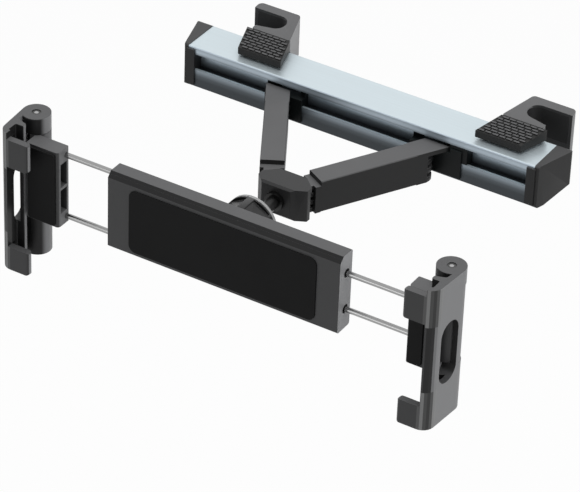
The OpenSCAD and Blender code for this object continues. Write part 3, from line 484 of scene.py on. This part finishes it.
def turned(name, profile, corners=None, steps=32):
    """A turned piece about Z from (radius, height) pairs. corners lists the rings that are
    hexagons, for a key's socket."""
    mesh = bpy.data.meshes.new(name)
    work = bmesh.new()
    rings = []
    for index, (radius, height) in enumerate(profile):
        ring = []
        for step in range(steps):
            angle = 2 * math.pi * step / steps
            reach = radius
            if corners and index in corners:
                turn = angle % (math.pi / 3) - math.pi / 6
                reach = radius * math.cos(math.pi / 6) / math.cos(turn)
            ring.append(work.verts.new((reach * math.cos(angle), reach * math.sin(angle), height)))
        rings.append(ring)
    for low, high in zip(rings, rings[1:]):
        for step in range(steps):
            after = (step + 1) % steps
            work.faces.new((low[step], low[after], high[after], high[step]))
    work.faces.new(rings[-1])
    work.faces.new(list(reversed(rings[0])))
    bmesh.ops.recalc_face_normals(work, faces=work.faces)
    work.to_mesh(mesh)
    work.free()
    return mesh


def place(name, mesh, at, ahead, material, body, slot):
    obj = link(bpy.data.objects.new(name, mesh))
    turn = Vector(ahead).to_track_quat("Z", "Y").to_matrix().to_4x4()
    mesh.transform(Matrix.Translation(Vector(at)) @ turn)
    mesh.materials.append(material)
    for face in mesh.polygons:
        face.use_smooth = True
    edge = obj.modifiers.new("edge", "EDGE_SPLIT")
    edge.split_angle = math.radians(40)
    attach(obj, body)
    return obj


def socket_screw(name, at, ahead, radius, body):
    """A low button head with a hexagon socket."""
    profile = [(radius, -0.3 * radius), (radius, 0.08 * radius), (0.93 * radius, 0.26 * radius),
               (0.75 * radius, 0.4 * radius), (0.56 * radius, 0.46 * radius),
               (0.5 * radius, 0.46 * radius), (0.47 * radius, 0.42 * radius),
               (0.47 * radius, -0.1 * radius), (0.2 * radius, -0.2 * radius)]
    place(name, turned(name, profile, (5, 6, 7)), at, ahead, SCREW, body, "pin_steel")


def hit(node, start, ahead):
    """Where a ray first meets a node, and the way the surface faces there."""
    found, at, normal, _ = NODES[node].ray_cast(Vector(start), Vector(ahead))
    if not found:
        raise RuntimeError("nothing of " + node + " is met")
    return at, normal


def make_screws():
    low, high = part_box("holder_rear_shell")
    mid_z = (low[2] + high[2]) / 2
    for side, x in (("left", low[0] + SCREW_IN), ("right", high[0] - SCREW_IN)):
        for level, z in (("lower", mid_z - SCREW_UP), ("upper", mid_z + SCREW_UP)):
            at, normal = hit("holder_rear_shell", (x, 0.1, z), (0, -1, 0))
            socket_screw("screw_back_" + side + "_" + level, at, normal, SCREW_R, "holder")
    for side in ("left", "right"):
        low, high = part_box("grip_pin_" + side)
        mid = ((low[0] + high[0]) / 2, (low[1] + high[1]) / 2)
        for end, z, way in (("top", high[2], 1), ("foot", low[2], -1)):
            name = "pin_dome_" + side + "_" + end
            place(name, turned(name, PIN_DOME), (mid[0], mid[1], z), (0, 0, way), STEEL,
                  "grip_" + side, "pin_steel")


# Stage

def seen_white(nodes, links):
    """1 for the rays that see the background: from the camera, a gloss or through glass."""
    ways = nodes.new("ShaderNodeLightPath")
    seen = math_node(nodes, links, "MAXIMUM", ways.outputs["Is Camera Ray"],
                     ways.outputs["Is Glossy Ray"])
    return math_node(nodes, links, "MAXIMUM", seen, ways.outputs["Is Transmission Ray"])


def make_stage():
    """A pale floor, clear from below so that the underside can be seen."""
    mat, nodes, links, bsdf = node_set("floor")
    bsdf.inputs["Base Color"].default_value = grey(FLOOR_LEVEL)
    bsdf.inputs["Roughness"].default_value = 0.9
    bsdf.inputs["Specular IOR Level"].default_value = 0.0
    white = nodes.new("ShaderNodeEmission")
    white.inputs["Color"].default_value = WHITE
    white.inputs["Strength"].default_value = 1.0
    mix = nodes.new("ShaderNodeMixShader")
    links.new(math_node(nodes, links, "MULTIPLY", seen_white(nodes, links), FLOOR_WHITE),
              mix.inputs["Fac"])
    links.new(bsdf.outputs["BSDF"], mix.inputs[1])
    links.new(white.outputs["Emission"], mix.inputs[2])
    clear = nodes.new("ShaderNodeBsdfTransparent")
    under = nodes.new("ShaderNodeNewGeometry")
    both = nodes.new("ShaderNodeMixShader")
    links.new(under.outputs["Backfacing"], both.inputs["Fac"])
    links.new(mix.outputs["Shader"], both.inputs[1])
    links.new(clear.outputs["BSDF"], both.inputs[2])
    links.new(both.outputs["Shader"], nodes["Material Output"].inputs["Surface"])
    bpy.ops.mesh.primitive_plane_add(size=FLOOR_SIZE, location=(0, 0, FLOOR_Z))
    floor = bpy.context.object
    floor.name = "floor"
    floor.data.materials.append(mat)


def make_world():
    world = bpy.data.worlds.new("studio")
    scene.world = world
    world.use_nodes = True
    nodes = world.node_tree.nodes
    links = world.node_tree.links
    back = nodes["Background"]
    back.inputs["Color"].default_value = WORLD_COLOUR
    back.inputs["Strength"].default_value = WORLD_STRENGTH
    white = nodes.new("ShaderNodeBackground")
    white.inputs["Color"].default_value = WHITE
    white.inputs["Strength"].default_value = 1.0
    mix = nodes.new("ShaderNodeMixShader")
    links.new(seen_white(nodes, links), mix.inputs["Fac"])
    links.new(back.outputs["Background"], mix.inputs[1])
    links.new(white.outputs["Background"], mix.inputs[2])
    links.new(mix.outputs["Shader"], nodes["World Output"].inputs["Surface"])


def lamp(name, at, aim, size, watts):
    data = bpy.data.lights.new(name, "AREA")
    data.shape = "RECTANGLE"
    data.size, data.size_y = size
    data.energy = watts
    obj = link(bpy.data.objects.new(name, data))
    obj.location = at
    obj.rotation_euler = (Vector(aim) - Vector(at)).to_track_quat("-Z", "Y").to_euler()
    return obj


make_camera()
dress_nodes()
soften(["hook_left", "hook_right", "bracket_left", "bracket_right",
        "centre_block", "arm_left", "arm_right", "end_cap_left", "end_cap_right",
        "holder_rear_shell", "holder_front_shell", "locking_nut"], EDGE_WIDTH)
make_screws()
make_stage()
make_world()
for values in LAMPS:
    lamp(*values)
# The key lamp's mirror image would bleach the rail's top
scene.objects["key"].visible_glossy = False
